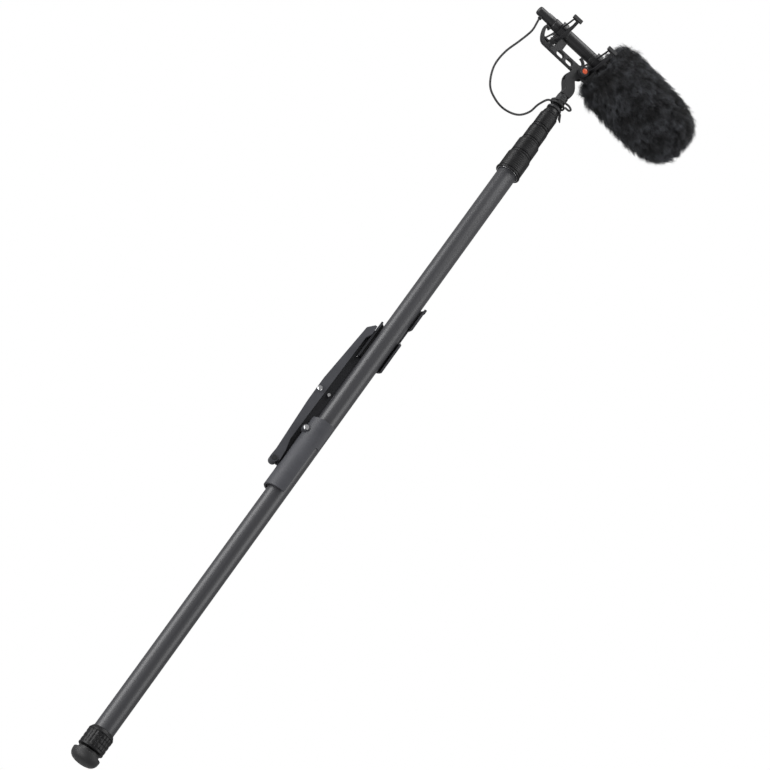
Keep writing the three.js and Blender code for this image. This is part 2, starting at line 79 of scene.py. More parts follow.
HAIR_ROOT_DEPTH = 3.5
HAIRLESS_RADIUS = 15.5  # no hair nearer than this to the microphone's axis
CORD_RADIUS = 1.75


# ---- material helpers ----
class Shader:
    """A Principled material and short names for the nodes that feed it."""

    def __init__(self, name):
        self.mat = bpy.data.materials.new(name)
        self.mat.use_nodes = True
        self.tree = self.mat.node_tree
        self.bsdf = self.tree.nodes["Principled BSDF"]
        self.place = self.node("ShaderNodeTexCoord").outputs["Object"]

    def node(self, kind, **settings):
        made = self.tree.nodes.new(kind)
        for key, value in settings.items():
            setattr(made, key, value)
        return made

    def feed(self, socket, value):
        if isinstance(value, bpy.types.NodeSocket):
            self.tree.links.new(value, socket)
        else:
            socket.default_value = value

    def set(self, **inputs):
        for key, value in inputs.items():
            self.feed(self.bsdf.inputs[key.replace("_", " ")], value)

    def math(self, operation, a, b=0.0, clamp=False):
        made = self.node("ShaderNodeMath", operation=operation, use_clamp=clamp)
        self.feed(made.inputs[0], a)
        self.feed(made.inputs[1], b)
        return made.outputs[0]

    def stretched(self, x, y, z):
        made = self.node("ShaderNodeMapping")
        self.feed(made.inputs["Vector"], self.place)
        made.inputs["Scale"].default_value = (x, y, z)
        return made.outputs[0]

    def noise(self, scale, detail=4.0, rough=0.55, vector=None):
        made = self.node("ShaderNodeTexNoise")
        self.feed(made.inputs["Vector"], vector or self.place)
        made.inputs["Scale"].default_value = scale
        made.inputs["Detail"].default_value = detail
        made.inputs["Roughness"].default_value = rough
        return made.outputs["Fac"]

    def cells(self, scale, feature="F1", vector=None):
        made = self.node("ShaderNodeTexVoronoi", feature=feature)
        self.feed(made.inputs["Vector"], vector or self.place)
        made.inputs["Scale"].default_value = scale
        return made.outputs["Distance"]

    def span(self, value, low, high, to_low=0.0, to_high=1.0):
        made = self.node("ShaderNodeMapRange")
        for socket, v in zip(made.inputs, (value, low, high, to_low, to_high)):
            self.feed(socket, v)
        return made.outputs[0]

    def between(self, factor, dark, light):
        made = self.node("ShaderNodeMix", data_type="RGBA")
        self.feed(made.inputs["Factor"], factor)
        for socket, colour in ((made.inputs[6], dark), (made.inputs[7], light)):
            self.feed(socket, (*colour, 1.0) if isinstance(colour, tuple) else colour)
        return made.outputs[2]

    def bump(self, height, depth_mm, strength=1.0, under=None):
        made = self.node("ShaderNodeBump")
        made.inputs["Strength"].default_value = strength
        made.inputs["Distance"].default_value = depth_mm * MM
        self.feed(made.inputs["Height"], height)
        if under is not None:
            self.feed(made.inputs["Normal"], under)
        return made.outputs[0]

    def turn_about(self, axis_height_mm=None):
        """(angle in turns, distance along) about the pole, or about the microphone if a height is given."""
        split = self.node("ShaderNodeSeparateXYZ")
        self.feed(split.inputs[0], self.place)
        x, y, z = split.outputs
        if axis_height_mm is None:
            return self.math("DIVIDE", self.math("ARCTAN2", y, x), 2 * math.pi), z
        up = self.math("SUBTRACT", z, axis_height_mm * MM)
        return self.math("DIVIDE", self.math("ARCTAN2", y, up), 2 * math.pi), x


def moulded(name, dark, light, roughness, grain_mm=0.03, grain=1800.0, sheen=0.0):
    """Moulded plastic or rubber: fine grain, handling smudges, a few pale scuffs."""
    s = Shader(name)
    smudge = s.noise(28.0, 5.0)
    scuff = s.span(s.noise(190.0, 6.0, 0.7), 0.62, 0.74)
    speck = s.noise(grain, 2.0)
    base = s.between(s.span(smudge, 0.3, 0.7), dark, light)
    worn = tuple(min(1.0, c * 1.9 + 0.01) for c in light)
    s.set(Base_Color=s.between(s.math("MULTIPLY", scuff, 0.3), base, worn))
    rough = s.span(smudge, 0.25, 0.75, roughness - 0.07, roughness + 0.09)
    s.set(Roughness=s.math("ADD", rough, s.math("MULTIPLY", scuff, 0.12)))
    s.set(Normal=s.bump(speck, grain_mm, 0.7))
    if sheen:
        s.set(Sheen_Weight=sheen, Sheen_Roughness=0.45)
    return s.mat


def make_carbon():
    """Twill-woven carbon under a satin coat, with lengthwise streaks."""
    s = Shader("carbon_twill")
    turn, along = s.turn_about()
    tows_round = 44.0
    tow = 2.3 * MM
    u = s.math("MULTIPLY", turn, tows_round)
    v = s.math("DIVIDE", along, tow)
    step = s.math("ADD", s.math("FLOOR", u), s.math("FLOOR", v))
    over = s.math("LESS_THAN", s.math("PINGPONG", s.math("MULTIPLY", step, 0.5), 1.0), 0.4)
    crown_u = s.math("PINGPONG", u, 0.5)
    crown_v = s.math("PINGPONG", v, 0.5)
    flip = s.math("SUBTRACT", 1.0, over)
    crown = s.math("ADD", s.math("MULTIPLY", crown_u, over), s.math("MULTIPLY", crown_v, flip))
    streak = s.noise(1.0, 4.0, 0.6, s.stretched(420.0, 420.0, 5.0))
    soft = s.noise(1.0, 3.0, 0.5, s.stretched(40.0, 40.0, 2.0))
    tone = s.math("ADD", s.math("MULTIPLY", over, 0.08), s.math("MULTIPLY", streak, 0.6))
    tone = s.math("ADD", tone, s.math("MULTIPLY", soft, 0.3))
    s.set(Base_Color=s.between(s.span(tone, 0.3, 0.8), (0.028, 0.028, 0.0315), (0.04, 0.0405, 0.0455)))
    s.set(Roughness=s.span(streak, 0.3, 0.7, 0.4, 0.46))
    s.set(Coat_Weight=0.3, Coat_Roughness=0.34, Specular_IOR_Level=0.5)
    weave = s.bump(crown, 0.02, 0.05)
    s.set(Normal=s.bump(streak, 0.01, 0.05, weave))
    return s.mat


def make_grip():
    """Black anodised collars: tiny knurl lines, a touch darker in their grooves than on their crests, dust
    over all, rubbed patches in the roughness.
    """
    s = Shader("grip_black")
    turn, along = s.turn_about()
    line = s.math("PINGPONG", s.math("MULTIPLY", turn, 150.0), 0.5)
    dust = s.noise(260.0, 5.0, 0.65)
    rub = s.noise(60.0, 3.0)
    tone = s.math("ADD", s.math("MULTIPLY", line, 0.35), s.math("MULTIPLY", dust, 0.75))
    s.set(Base_Color=s.between(s.span(tone, 0.3, 0.75), (0.0035, 0.0035, 0.004), (0.0075, 0.0075, 0.0085)))
    s.set(Roughness=s.span(rub, 0.3, 0.7, 0.36, 0.5), Specular_IOR_Level=0.32)
    s.set(Normal=s.bump(s.noise(700.0, 2.0), 0.01, 0.15, s.bump(line, 0.03, 0.2)))
    return s.mat


def make_mic_finish():
    """Satin dark paint with rows of narrow slots along the interference tube."""
    s = Shader("mic_satin")
    turn, along = s.turn_about(MIC_AXIS_Z)
    side = s.math("PINGPONG", s.math("MULTIPLY", turn, 4.0), 0.5)
    pitch = s.math("PINGPONG", s.math("DIVIDE", along, 5.0 * MM), 0.5)
    ahead = s.math("GREATER_THAN", along, 26.0 * MM)
    slot = s.math("MULTIPLY", s.math("LESS_THAN", side, 0.05), s.math("GREATER_THAN", pitch, 0.12))
    slot = s.math("MULTIPLY", slot, ahead)
    brushed = s.noise(1.0, 4.0, 0.6, s.stretched(8.0, 900.0, 900.0))
    base = s.between(s.span(brushed, 0.3, 0.7), (0.014, 0.014, 0.015), (0.034, 0.034, 0.036))
    s.set(Base_Color=s.between(slot, base, (0.001, 0.001, 0.001)))
    s.set(Roughness=s.span(brushed, 0.3, 0.7, 0.34, 0.46), Metallic=0.25)
    s.set(Normal=s.bump(s.math("SUBTRACT", brushed, slot), 0.06, 0.5))
    return s.mat


def make_steel():
    s = Shader("bright_steel")
    scratch = s.noise(2400.0, 3.0)
    haze = s.noise(300.0, 4.0)
    s.set(Metallic=1.0)
    s.set(Base_Color=s.between(s.span(haze, 0.3, 0.7), (0.78, 0.78, 0.80), (0.95, 0.95, 0.96)))
    s.set(Roughness=s.span(haze, 0.3, 0.7, 0.1, 0.22))
    s.set(Normal=s.bump(scratch, 0.01, 0.4))
    return s.mat


def make_foam():
    s = Shader("open_foam")
    pore = s.cells(900.0)
    s.set(Base_Color=s.between(s.span(pore, 0.1, 0.6), (0.035, 0.035, 0.037), (0.008, 0.008, 0.009)))
    s.set(Roughness=s.span(pore, 0.1, 0.6, 0.85, 1.0))
    s.set(Normal=s.bump(pore, 0.5, 0.8))
    return s.mat


def make_backing():
    """Knitted backing that the pile grows from."""
    s = Shader("pile_backing")
    knit = s.cells(520.0)
    s.set(Base_Color=s.between(s.span(knit, 0.1, 0.7), (0.004, 0.004, 0.004), (0.010, 0.010, 0.011)))
    s.set(Roughness=s.span(knit, 0.1, 0.7, 0.9, 1.0))
    s.set(Normal=s.bump(knit, 0.8, 1.0))
    return s.mat


def make_pile():
    """Dark hair with a painted ramp along each hair: near-black roots as painted shade deep in the pile, smoky
    tips as painted light, with paler and browner patches.
    """
    s = Shader("long_pile")
    along = s.node("ShaderNodeAttribute", attribute_name="hair_along").outputs["Fac"]
    lock = s.noise(34.0, 6.0, 0.7)
    single = s.noise(900.0, 2.0)
    # painted light and shade: the ramp along each hair darkens the roots as painted shade and lightens the
    # tips as painted light
    tone = s.math("MULTIPLY", s.math("POWER", along, 2.2), s.span(lock, 0.4, 0.64, 0.06, 1.0))
    tone = s.math("MULTIPLY", tone, s.span(single, 0.3, 0.7, 0.5, 1.2))
    s.set(Base_Color=s.between(tone, (0.0034, 0.0034, 0.0037), (0.19, 0.2, 0.225)))
    s.set(Roughness=s.span(single, 0.3, 0.7, 0.55, 0.75), Specular_IOR_Level=0.35)
    s.set(Sheen_Weight=0.12, Sheen_Roughness=0.4)
    return s.mat


def make_orange():
    s = Shader("orange_insert")
    cloud = s.noise(350.0, 4.0)
    s.set(Base_Color=s.between(s.span(cloud, 0.3, 0.7), (0.62, 0.07, 0.02), (0.92, 0.17, 0.07)))
    s.set(Roughness=s.span(cloud, 0.3, 0.7, 0.28, 0.45), Coat_Weight=0.3)
    s.set(Normal=s.bump(s.noise(2600.0, 2.0), 0.02, 0.5))
    return s.mat


CARBON = make_carbon()
GRIP = make_grip()
MIC = make_mic_finish()
STEEL = make_steel()
FOAM = make_foam()
BACKING = make_backing()
PILE = make_pile()
ORANGE = make_orange()
BLACK = moulded("black_moulding", (0.008, 0.008, 0.009), (0.019, 0.019, 0.021), 0.44)
GREY = moulded("grey_moulding", (0.034, 0.035, 0.041), (0.049, 0.050, 0.058), 0.56, 0.05, 1400.0)
RUBBER = moulded("rubber_foot_skin", (0.007, 0.007, 0.008), (0.014, 0.014, 0.015), 0.56, 0.06, 1100.0, 0.1)
JACKET = moulded("cable_jacket", (0.007, 0.007, 0.008), (0.015, 0.015, 0.016), 0.5, 0.02, 2200.0)
BUSH = moulded("acetal", (0.52, 0.50, 0.45), (0.62, 0.60, 0.55), 0.5)


# ---- geometry helpers ----
def piece(name, verts, faces, mat, sharp_deg=38.0):
    mesh = bpy.data.meshes.new(name)
    mesh.from_pydata([tuple(v) for v in verts], [], faces)
    mesh.materials.append(mat)
    mesh.shade_smooth()
    mesh.set_sharp_from_angle(angle=math.radians(sharp_deg))
    made = bpy.data.objects.new(name, mesh)
    bpy.context.scene.collection.objects.link(made)
    return made


def stand_for(made, body, nodes):
    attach(made, body)
    if nodes:
        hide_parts(*nodes)
    return made


def softened(outline, radius, closed):
    """The outline with each corner replaced by a small arc."""
    pts = [np.array(p[:2], float) for p in outline]
    count = len(pts)
    out = []
    for i, p in enumerate(pts):
        end = not closed and i in (0, count - 1)
        before, after = pts[i - 1] - p, pts[(i + 1) % count] - p
        la, lb = np.linalg.norm(before), np.linalg.norm(after)
        if end or p[0] < 1e-6 or min(la, lb) < 1e-6:
            out.append(p)
            continue
        bend = abs(np.cross(before, after)) / (la * lb)
        if bend < 0.12:
            out.append(p)
            continue
        reach = min(radius, 0.35 * la, 0.35 * lb)
        start, stop = p + before / la * reach, p + after / lb * reach
        for t in (0.0, 0.5, 1.0):
            out.append((1 - t) ** 2 * start + 2 * t * (1 - t) * p + t * t * stop)
    return [tuple(p) for p in out]


def lathe(name, outline, mat, sides=128, soften=0.4, shift=None, turn=None):
    """A body turned about Z from [radius, height] in mm. shift(angle, radius, height) changes the radius."""
    closed = not (outline[0][0] < 1e-6 and outline[-1][0] < 1e-6)
    points = softened(outline, soften, closed) if soften else [tuple(p) for p in outline]
    verts, rings = [], []
    for r, h in points:
        if r < 1e-6:
            rings.append([len(verts)])
            verts.append((0.0, 0.0, h * MM))
            continue
        ids = []
        for k in range(sides):
            a = 2 * math.pi * k / sides
            rr = r + (shift(a, r, h) if shift else 0.0)
            ids.append(len(verts))
            verts.append((rr * MM * math.cos(a), rr * MM * math.sin(a), h * MM))
        rings.append(ids)
    faces = []
    pairs = list(zip(rings, rings[1:])) + ([(rings[-1], rings[0])] if closed else [])
    for low, high in pairs:
        for k in range(sides):
            j = (k + 1) % sides
            if len(low) == 1 and len(high) == 1:
                continue
            if len(low) == 1:
                faces.append((low[0], high[j], high[k]))
            elif len(high) == 1:
                faces.append((low[k], low[j], high[0]))
            else:
                faces.append((low[k], low[j], high[j], high[k]))
    made = piece(name, verts, faces, mat)
    if turn is not None:
        made.data.transform(turn)
    made.data.update()
    return made


def about_mic():
    """Turns a lathe's Z into +X along the microphone's axis."""
    return Matrix.Translation((0, 0, MIC_AXIS_Z * MM)) @ Matrix.Rotation(math.pi / 2, 4, "Y")


def facing_front(x, z, spin=0.0, about=0.0):
    """Turns a lathe's Z into -Y at (x, z) in mm, then turns the whole about the pole."""
    stand = Matrix.Translation((x * MM, 0, z * MM)) @ Matrix.Rotation(math.pi / 2, 4, "X")
    return Matrix.Rotation(about, 4, "Z") @ stand @ Matrix.Rotation(spin, 4, "Z")


def dress(node, mat, width_mm, angle_deg=34.0, segments=2):
    """A CAD node in its finish, with its edges broken."""
    shown = NODES[node]
    mesh = shown.data
    mesh.materials.clear()
    mesh.materials.append(mat)
    for face in mesh.polygons:
        face.material_index = 0
        face.use_smooth = True
    weld = shown.modifiers.new("weld", "WELD")
    weld.merge_threshold = 0.004 * MM
    if width_mm:
        bevel = shown.modifiers.new("edges", "BEVEL")
        bevel.width = width_mm * MM
        bevel.segments = segments
        bevel.limit_method = "ANGLE"
        bevel.angle_limit = math.radians(angle_deg)
        bevel.use_clamp_overlap = True
        bevel.harden_normals = True
    normal = shown.modifiers.new("normals", "WEIGHTED_NORMAL")
    normal.keep_sharp = True
    return shown


def ridged(bottom, top, radius, pitch, depth):
    """Outline points of a wall with rounded ridges around it."""
    count = max(1, round((top - bottom) / pitch))
    step = (top - bottom) / count
    out = []
    for i in range(count):
        z = bottom + i * step
        shape = ((1.0, 0.0), (1.0, 0.14), (0.25, 0.27), (0.0, 0.42), (0.0, 0.72), (0.25, 0.87))
        out += [(radius - depth * down, z + step * up) for down, up in shape]
    out.append((radius - depth, top))
    return out


def knurl(count, depth, low, high, least_radius):
    """Lengthwise grooves between two heights, on the outside only."""
    def shift(angle, radius, height):
        if radius < least_radius or not low <= height <= high:
            return 0.0
        return -depth * (0.5 - 0.5 * math.cos(count * angle)) ** 3
    return shift


# ---- pole ----
def z_span(node):
    low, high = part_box(node)
    return low.z / MM, high.z / MM


def add_tube(node, body):
    bottom, top = z_span(node)
    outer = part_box(node)[1].x / MM
    inner = outer - (BASE_TUBE_WALL if node == "base_tube" else NESTED_TUBE_WALL)
    wall = [(inner, bottom), (outer, bottom), (outer, top), (inner, top)]
    stand_for(lathe(f"{node}_woven", wall, CARBON, 128, 0.25), body, [node])


def add_collar(i, body):
    node = f"lock_collar_{i + 1}"
    bottom, top = z_span(node)
    outer = COLLAR_RADII[i]
    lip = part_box(node)[1].x / MM
    bore = outer - COLLAR_WALL
    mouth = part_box(f"tube_{i + 2}")[1].x / MM + CLEARANCE
    grip_low, grip_high = bottom + 6.2, top - 3.0
    groove = outer - 1.2
    outline = [(bore, bottom), (lip - 0.8, bottom), (lip, bottom + 0.7), (lip, bottom + 2.8)]
    outline += [(groove, bottom + 3.1), (groove, bottom + 5.1), (outer, bottom + 5.4)]
    outline += ridged(grip_low, grip_high, outer, 3.6, 0.13)
    outline += [(outer - 0.1, grip_high + 0.3), (outer - 0.1, top - 1.7), (outer - 1.6, top), (mouth, top)]
    outline += [(mouth, top - COLLAR_CAP), (bore, top - COLLAR_CAP)]
    made = lathe(f"{node}_grip", outline, GRIP, 144, 0.2)
    stand_for(made, body, [node])


def add_trim_ring():
    bottom = z_span("lock_collar_1")[0]
    bore = COLLAR_RADII[0] - COLLAR_WALL
    ring = [(bore - 1.0, bottom + 0.2), (bore - 0.5, bottom - 0.3), (bore, bottom - 0.3)]
    ring += [(bore, bottom + 0.8), (bore - 1.0, bottom + 0.8)]
    stand_for(lathe("collar_lip_ring", ring, STEEL, 128, 0.2), "lock_1", [])


def add_foot():
    low, high = z_span("rubber_foot")
    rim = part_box("rubber_foot")[1].x / MM
    rings = []
    for r in (3.0, 5.5, 8.0):
        rings += [(r, low), (r + 0.3, low + 0.35), (r + 0.9, low + 0.35), (r + 1.2, low)]
    outline = [(0, low)] + rings + [
        (9.2, low), (13.0, 0.9), (16.4, 2.2), (18.8, 4.1), (20.6, 6.6), (21.6, 9.4), (rim, 12.4), (rim, 15.2),
        (rim - 0.4, 15.6), (17.6, 16.2), (17, 16.8), (17, high), (0, high),
    ]
    stand_for(lathe("rubber_foot_dome", outline, RUBBER, 144, 0.5), "end_cap", ["rubber_foot"])

    bottom, top = z_span("end_collar")
    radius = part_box("end_collar")[1].x / MM
    shoulder = top - 5.5
    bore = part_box("base_tube")[1].x / MM + CLEARANCE
    floor = bottom + 2.6
    grip_low, grip_high = bottom + 3.0, shoulder - 1.2
    outline = [(PLUG_HOLE, bottom), (radius - 0.9, bottom), (radius, bottom + 0.9), (radius, grip_low)]
    outline += ridged(grip_low, grip_high, radius, 7.6, 0.7)
    outline += [(radius, grip_high), (radius, shoulder), (bore + 0.8, top), (bore, top), (bore, floor)]
    outline.append((PLUG_HOLE, floor))
    shift = knurl(16, 0.6, grip_low, grip_high, radius - 1.5)
    made = lathe("end_collar_grip", outline, GRIP, 240, 0.25, shift)
    stand_for(made, "end_cap", ["end_collar"])


def add_tip():
    bottom, top = z_span("tip_ferrule")
    socket = z_span("tube_5")[1] + CLEARANCE
    bore = 9.2
    hole = 4.9
    outline = [
        (bore, bottom), (13.4, bottom), (13.4, bottom + 2.2), (12.6, bottom + 2.7), (12.6, bottom + 3.5),
        (13.0, bottom + 4.1), (9.6, top - 8), (8.3, top - 5), (8.3, top), (hole, top), (hole, socket),
        (bore, socket),
    ]
    stand_for(lathe("tip_ferrule_turned", outline, GRIP, 128, 0.35), "section_5", ["tip_ferrule"])

    low, high = z_span("swivel_base")
    waist = (low + high) / 2
    outline = [(hole, low), (8.5, low), (9.5, low + 1)]
    for groove in (waist - 3.5, waist, waist + 3.5):
        outline += [(9.5, groove - 0.5), (9.1, groove), (9.5, groove + 0.5)]
    outline += [(9.5, high - 1.5), (8.0, high), (0, high), (0, low + 13.7), (hole, low + 13.7)]
    stand_for(open_lathe("swivel_base_turned", outline), "section_5", ["swivel_base"])


def open_lathe(name, outline):
    """A turned body whose outline touches the axis in its middle, with its ends joined."""
    start = next(i for i, p in enumerate(outline) if p[0] < 1e-6)
    ordered = outline[start + 1:] + outline[:start + 1]
    return lathe(name, ordered, BLACK, 128, 0.35)


# ---- screws, knob ----
def add_bolt(name, node, body, cap_radius, cap, shank_radius, shank, socket, turn, sunk=1.5):
    """A cap screw with a hexagonal socket. cap and shank are (from, to) along the lathe's Z, outwards up."""
    low, high = cap
    flat = math.pi / 3

    def hexagon(angle, radius, height):
        if radius > socket + 1e-3 or height < high - sunk - 0.1:
            return 0.0
        return socket * (math.cos(flat / 2) / math.cos(angle % flat - flat / 2) - 1.0)

    outline = [
        (0, shank[0]), (shank_radius, shank[0]), (shank_radius, low), (cap_radius, low),
        (cap_radius, high - 0.5), (cap_radius - 0.5, high), (socket, high), (socket, high - sunk),
        (0, high - sunk),
    ]
    made = lathe(name, outline, STEEL, 96, 0.0, hexagon, turn)
    stand_for(made, body, [node])


def add_bolts():
    add_bolt("saddle_bolt_cap", "saddle_bolt", "support", 4.0, (16.1, 19.2), 2.0, (11.2, 16.1), 2.1,
             facing_front(*SADDLE_BOLT, 0.3, SUPPORT_TURN))
    add_bolt("spine_bolt_cap", "spine_bolt", "support", 4.0, (9.3, 12.4), 1.8, (5.4, 9.3), 2.1,
             facing_front(*SPINE_BOLT, 0.1, SUPPORT_TURN))
    add_bolt("web_screw_cap", "web_screw", "support", 3.0, (-3.7, -2.2), 1.5, (-7.0, -3.7), 1.4,
             facing_front(*WEB_SCREW, 0.5, SUPPORT_TURN), 0.9)
    rear = Matrix.Translation((0, 0, LYRE_SCREW_Z * MM)) @ Matrix.Rotation(-math.pi / 2, 4, "Y")
    for node in ("rear_lyre_screw", "front_lyre_screw"):
        low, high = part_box(node)
        head, tip = -low.x / MM, -high.x / MM
        seat = head - 1.8
        add_bolt(f"{node}_cap", node, "suspension", 2.8, (seat, head), 1.5, (tip, seat), 1.4, rear, 0.9)


def add_knob():
    grip = [(8.0, 9.2 + 8.2 * t / 6) for t in range(7)]
    recess = [(4.9, 18.4), (4.9, 16.4), (3.3, 16.4)]
    outline = [(3.3, 8.4), (7.2, 8.4), *grip, (7.4, 18.4), *recess]
    shift = knurl(20, 0.5, 9.6, 17.2, 7.5)
    made = lathe("clamp_knob_grip", outline, BLACK, 160, 0.25, shift, facing_front(*PIVOT))
    stand_for(made, "knob", ["clamp_knob"])
    dome = [(0, 16.7), (4.6, 16.7), (4.6, 18.0), (4.1, 18.4), (2.8, 18.8), (1.4, 19.0), (0, 19.1)]
    made = lathe("knob_insert_dome", dome, ORANGE, 96, 0.2, None, facing_front(*PIVOT))
    stand_for(made, "knob", ["knob_insert"])


# ---- microphone, cable ----
def add_microphone():
    rear, front, r = MIC_REAR, MIC_FRONT, MIC_RADIUS
    outline = [
        (0, rear), (r - 1.6, rear), (r - 0.6, rear + 1.2), (r - 0.6, rear + 12), (r - 1.0, rear + 12.3),
        (r - 1.0, rear + 13.2), (r, rear + 13.6), (r, rear + 30), (r - 0.35, rear + 30.4),
        (r - 0.35, rear + 31.2), (r, rear + 31.6), (r, -4), (r - 0.3, -3.6), (r - 0.3, -2.8), (r, -2.4),
        (r, front - 2), (r - 1.2, front), (0, front),
    ]
    made = lathe("mic_body_turned", outline, MIC, 128, 0.25, None, about_mic())
    stand_for(made, "suspension", ["mic_body"])


def smooth_path(points, per_piece):
    """A centripetal-like Catmull-Rom line through the points."""
    pts = [np.array(p, float) for p in points]
    pts = [2 * pts[0] - pts[1]] + pts + [2 * pts[-1] - pts[-2]]
    out = []
    for a, b, c, d in zip(pts, pts[1:], pts[2:], pts[3:]):
        for k in range(per_piece):
            t = k / per_piece
            out.append(0.5 * (2 * b + (c - a) * t + (2 * a - 5 * b + 4 * c - d) * t * t
                              + (3 * b - 3 * c + d - a) * t ** 3))
    out.append(pts[-2])
    return np.array(out)


def tube_along(name, path, radius, mat, sides=12):
    """A round cord along a path in mm, with closed ends."""
    tangent = np.gradient(path, axis=0)
    tangent /= np.linalg.norm(tangent, axis=1)[:, None]
    side = np.cross(tangent[0], (0.0, 1.0, 0.0))
    side /= np.linalg.norm(side)
    verts = []
    for p, t in zip(path, tangent):
        side = side - t * (side @ t)
        side /= np.linalg.norm(side)
        other = np.cross(t, side)
        for k in range(sides):
            a = 2 * math.pi * k / sides
            verts.append((p + radius * (math.cos(a) * side + math.sin(a) * other)) * MM)
    faces = []
    for i in range(len(path) - 1):
        for k in range(sides):
            j = (k + 1) % sides
            faces.append((i * sides + k, i * sides + j, (i + 1) * sides + j, (i + 1) * sides + k))
    faces.append(tuple(range(sides))[::-1])
    last = (len(path) - 1) * sides
    faces.append(tuple(last + k for k in range(sides)))
    return piece(name, verts, faces, mat, 60.0)


def add_cable():
    hang = [
        (-106.4, 0, 1400.6), (-106.3, 0, 1391), (-104.6, 0, 1370), (-110.6, 0, 1341), (-118.6, 0, 1310),
        (-120.4, 0, 1282), (-115, 0, 1260), (-104, 0, 1242), (-88.5, 0, 1233), (-71, 0, 1229.5),
        (-53, 0, 1233), (-39, 0, 1242), (-29.5, 0, 1258), (-25.6, 0, 1277), (-19, -2, 1293),
    ]
    wrap = []
    for i in range(13):
        a = math.pi * (1.06 + i / 6)
        wrap.append((12 * math.cos(a), 12 * math.sin(a), 1298.4 + 4.6 * i / 12))
    loop = [
        (-6, -12.4, 1304.2), (4, -13, 1304.6), (14, -11, 1306.6), (20.4, -9, 1305), (18, -10.6, 1300.4),
        (10, -14.6, 1297.6),
    ]
    per_piece, lowest = 8, 9
    path = smooth_path(hang + wrap + loop, per_piece)
    at = lowest * per_piece
    slack = tube_along("mic_cable_slack", path[:at + 2], CORD_RADIUS, JACKET)
    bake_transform(slack)
    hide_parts("mic_cable")
    tied = tube_along("mic_cable_tied", path[at:], CORD_RADIUS, JACKET)
    stand_for(tied, "section_5", ["mic_cable"])


# ---- windshield ----
COVER_OUTLINE = [
    (0, 0), (20, 0), (36, 0.4), (43, 1.4), (49.5, 6), (53.6, 13), (55.8, 24), (56, 45), (56, 70), (56, 95),
    (55.6, 116), (53.2, 138), (48.8, 156), (42, 168.5), (32, 177), (20, 181.6), (9, 183.6), (0, 184),
]


def cover_line(samples):
    """Evenly spaced (radius, forward) points on the cover's side line in mm, with its two directions there."""
    fine = smooth_path(COVER_OUTLINE, 24)
    run = np.concatenate([[0], np.cumsum(np.linalg.norm(np.diff(fine, axis=0), axis=1))])
    at = np.linspace(0, run[-1], samples)
    line = np.stack([np.interp(at, run, fine[:, k]) for k in (0, 1)], axis=1)
    line[:, 0] = np.maximum(line[:, 0], 0)
    tangent = np.gradient(line, axis=0)
    tangent /= np.linalg.norm(tangent, axis=1)[:, None]
    normal = np.stack([tangent[:, 1], -tangent[:, 0]], axis=1)
    return line, tangent, normal


def to_cover(radial, forward, angle):
    """Turns (radial, forward) parts at an angle round the cover's axis into the row frame's directions."""
    c, s = math.cos(COVER_DROOP), math.sin(COVER_DROOP)
    y, up = radial * np.cos(angle), radial * np.sin(angle)
    return np.stack([c * forward + s * up, y, -s * forward + c * up], axis=-1)


COVER_ORIGIN = np.array([COVER_REAR, 0.0, MIC_AXIS_Z])


def add_backing():
    """The knitted skin under the pile, open round the microphone and hollow for the foam core."""
    line, _, normal = cover_line(70)
    mouth, core = COVER_MOUTH, CORE_HOLLOW
    skin = [(r - COVER_SKIN * n[0], f - COVER_SKIN * n[1]) for (r, f), n in zip(line, normal) if r > mouth]
    nose = max(f for _, f in skin)
    skin[-1] = (0.0, nose)
    hollow = [(0, nose - 3.0), (18, nose - 8.0), (core, nose - 22.0), (core, 6.5), (mouth, 6.5), (mouth, 2.6)]
    outline = hollow + skin[1:]
    turn = Matrix.Translation(tuple(COVER_ORIGIN * MM)) @ Matrix.Rotation(math.pi / 2 + COVER_DROOP, 4, "Y")
    made = lathe("windshield_backing", outline, BACKING, 96, 0.0, None, turn)
    stand_for(made, "suspension", ["fur_cover"])


def scatter(rng, count, weight):
    """Rows of the cover's line, spread evenly over its area, and angles round it."""
    row = np.searchsorted(weight, rng.random(count) * weight[-1])
    return row, rng.random(count) * 2 * math.pi


def nearest(points, centres):
    """For each point, the index of the centre nearest to it."""
    tree = kdtree.KDTree(len(centres))
    for i, p in enumerate(centres):
        tree.insert(Vector(p), i)
    tree.balance()
    return np.array([tree.find(Vector(p))[1] for p in points])


def hair_mesh(name, corners, along):
    """Ribbons of two quads and a pointed tip, from (strand, corner, xyz) in mm."""
    strands, per, _ = corners.shape
    coords = (corners.reshape(-1, 3) * MM).astype(np.float32)
    base = np.arange(strands)[:, None] * per
    faces = ((0, 1, 3, 2), (2, 3, 5, 4), (4, 5, 6))
    loops = np.concatenate([base + np.array(face) for face in faces], axis=1)
    starts = np.arange(strands)[:, None] * loops.shape[1] + np.array([0, 4, 8])
    mesh = bpy.data.meshes.new(name)
    mesh.vertices.add(len(coords))
    mesh.vertices.foreach_set("co", coords.ravel())
    mesh.loops.add(loops.size)
    mesh.loops.foreach_set("vertex_index", loops.ravel().astype(np.int32))
    mesh.polygons.add(strands * len(faces))
    mesh.polygons.foreach_set("loop_start", starts.ravel().astype(np.int32))
    mesh.update(calc_edges=True)
    mesh.validate()
    mesh.shade_smooth()
    attribute = mesh.attributes.new("hair_along", "FLOAT", "POINT")
    attribute.data.foreach_set("value", np.tile(np.array(along, np.float32), strands))
    mesh.materials.append(PILE)
    return mesh


